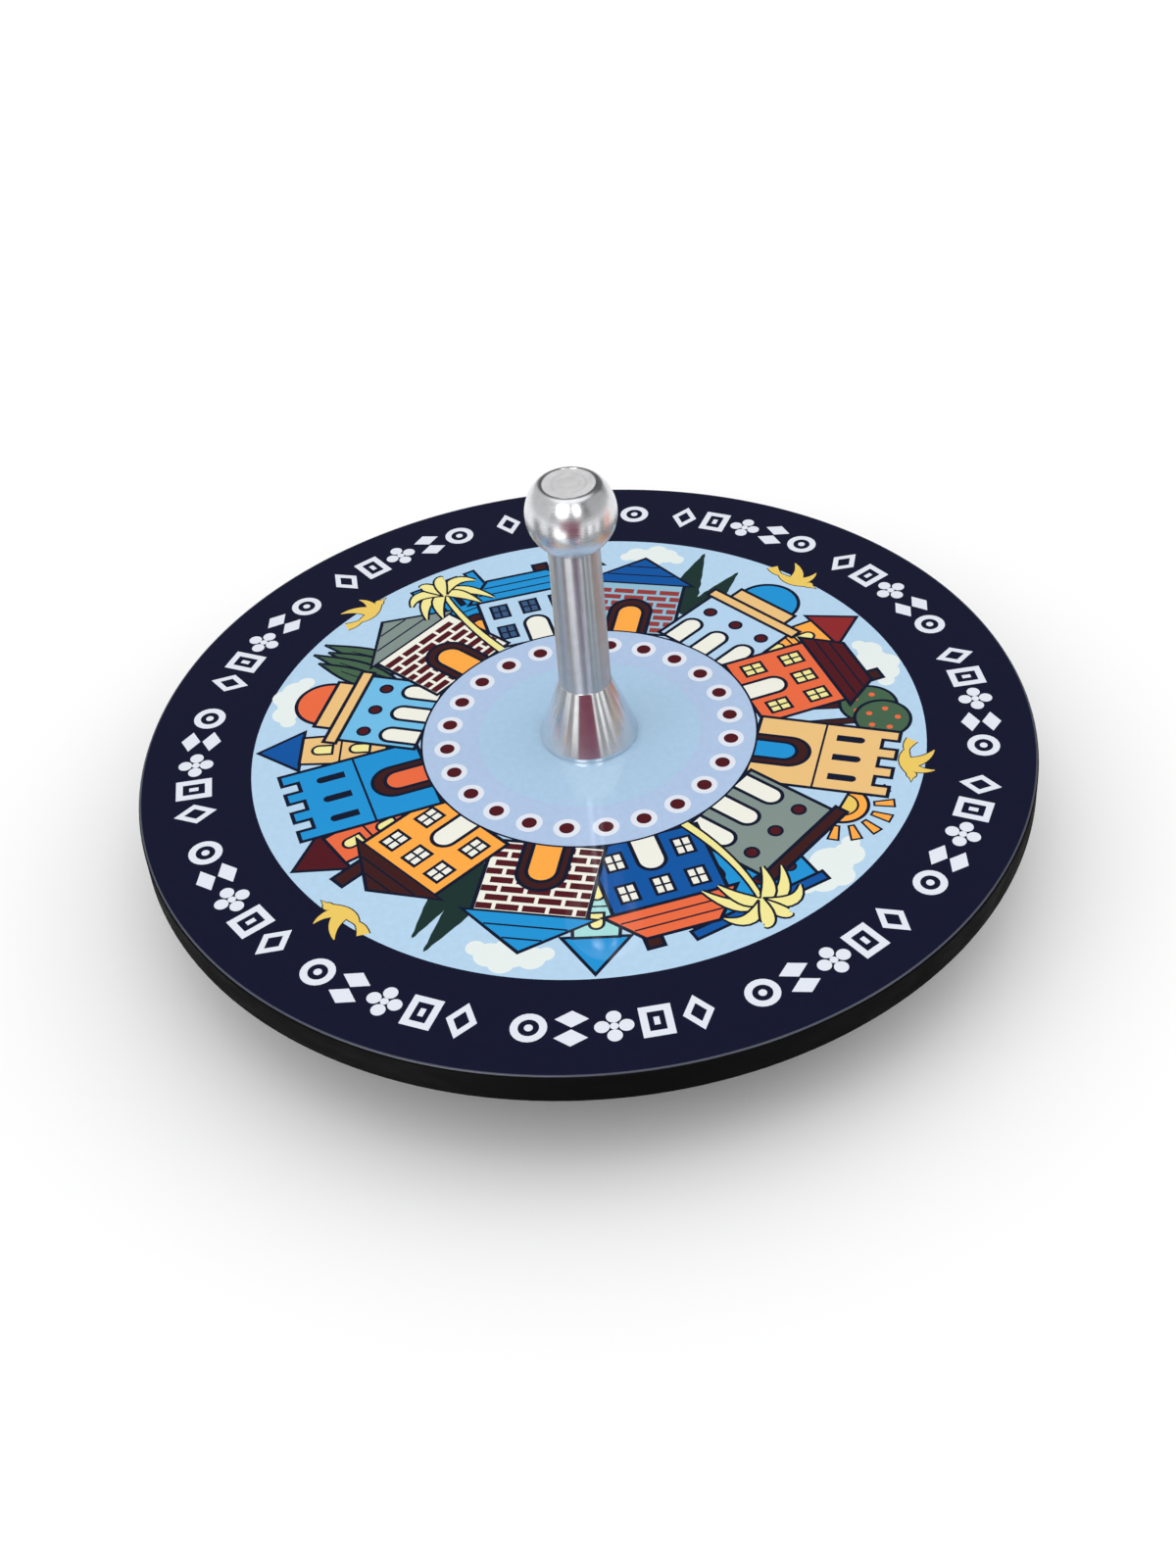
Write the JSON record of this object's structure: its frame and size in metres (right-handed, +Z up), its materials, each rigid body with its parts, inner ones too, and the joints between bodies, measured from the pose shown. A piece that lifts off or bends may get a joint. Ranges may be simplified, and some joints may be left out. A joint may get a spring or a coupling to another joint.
{
  "type": "spinning top",
  "caption": "Disc-shaped spinning top: a round printed board clamped between a turned aluminium ball-knob handle and a conical foot with a steel ball tip.",
  "frame": {"origin": "the lowest point of the tip ball, where the top stands when it spins", "axes": "+Z up along the spin axis, towards the knob; X and Y lie in the plane of the disc, and the disc is round, so their directions are free"},
  "size_m": [0.09, 0.09, 0.042],
  "materials": {
    "black_board": "smooth satin black board",
    "printed_face": "many-coloured print",
    "clear_film": "clear gloss laminate",
    "turned_aluminium": "fine turned, bright",
    "satin_aluminium": "satin with lengthwise streaks",
    "polished_aluminium": "polished",
    "zinc_steel": "zinc plated",
    "ball_steel": "polished bearing steel"
  },
  "bodies": {
    "tip": {"tip_ball": "ball_steel"},
    "spinner": {"disc_board": "black_board", "printed_sheet": "printed_face", "clear_film": "clear_film", "flared_base": "turned_aluminium", "grip_stem": "satin_aluminium", "ball_knob": "polished_aluminium", "centre_rod": "zinc_steel", "clamp_washer": "zinc_steel", "tip_foot": "turned_aluminium"}
  },
  "joints": [
    {"name": "spin", "type": "hinge", "parent": "tip", "child": "spinner", "pos_m": [0, 0, 0.0015], "axis": [0, 0, 1], "continuous": true}
  ]
}
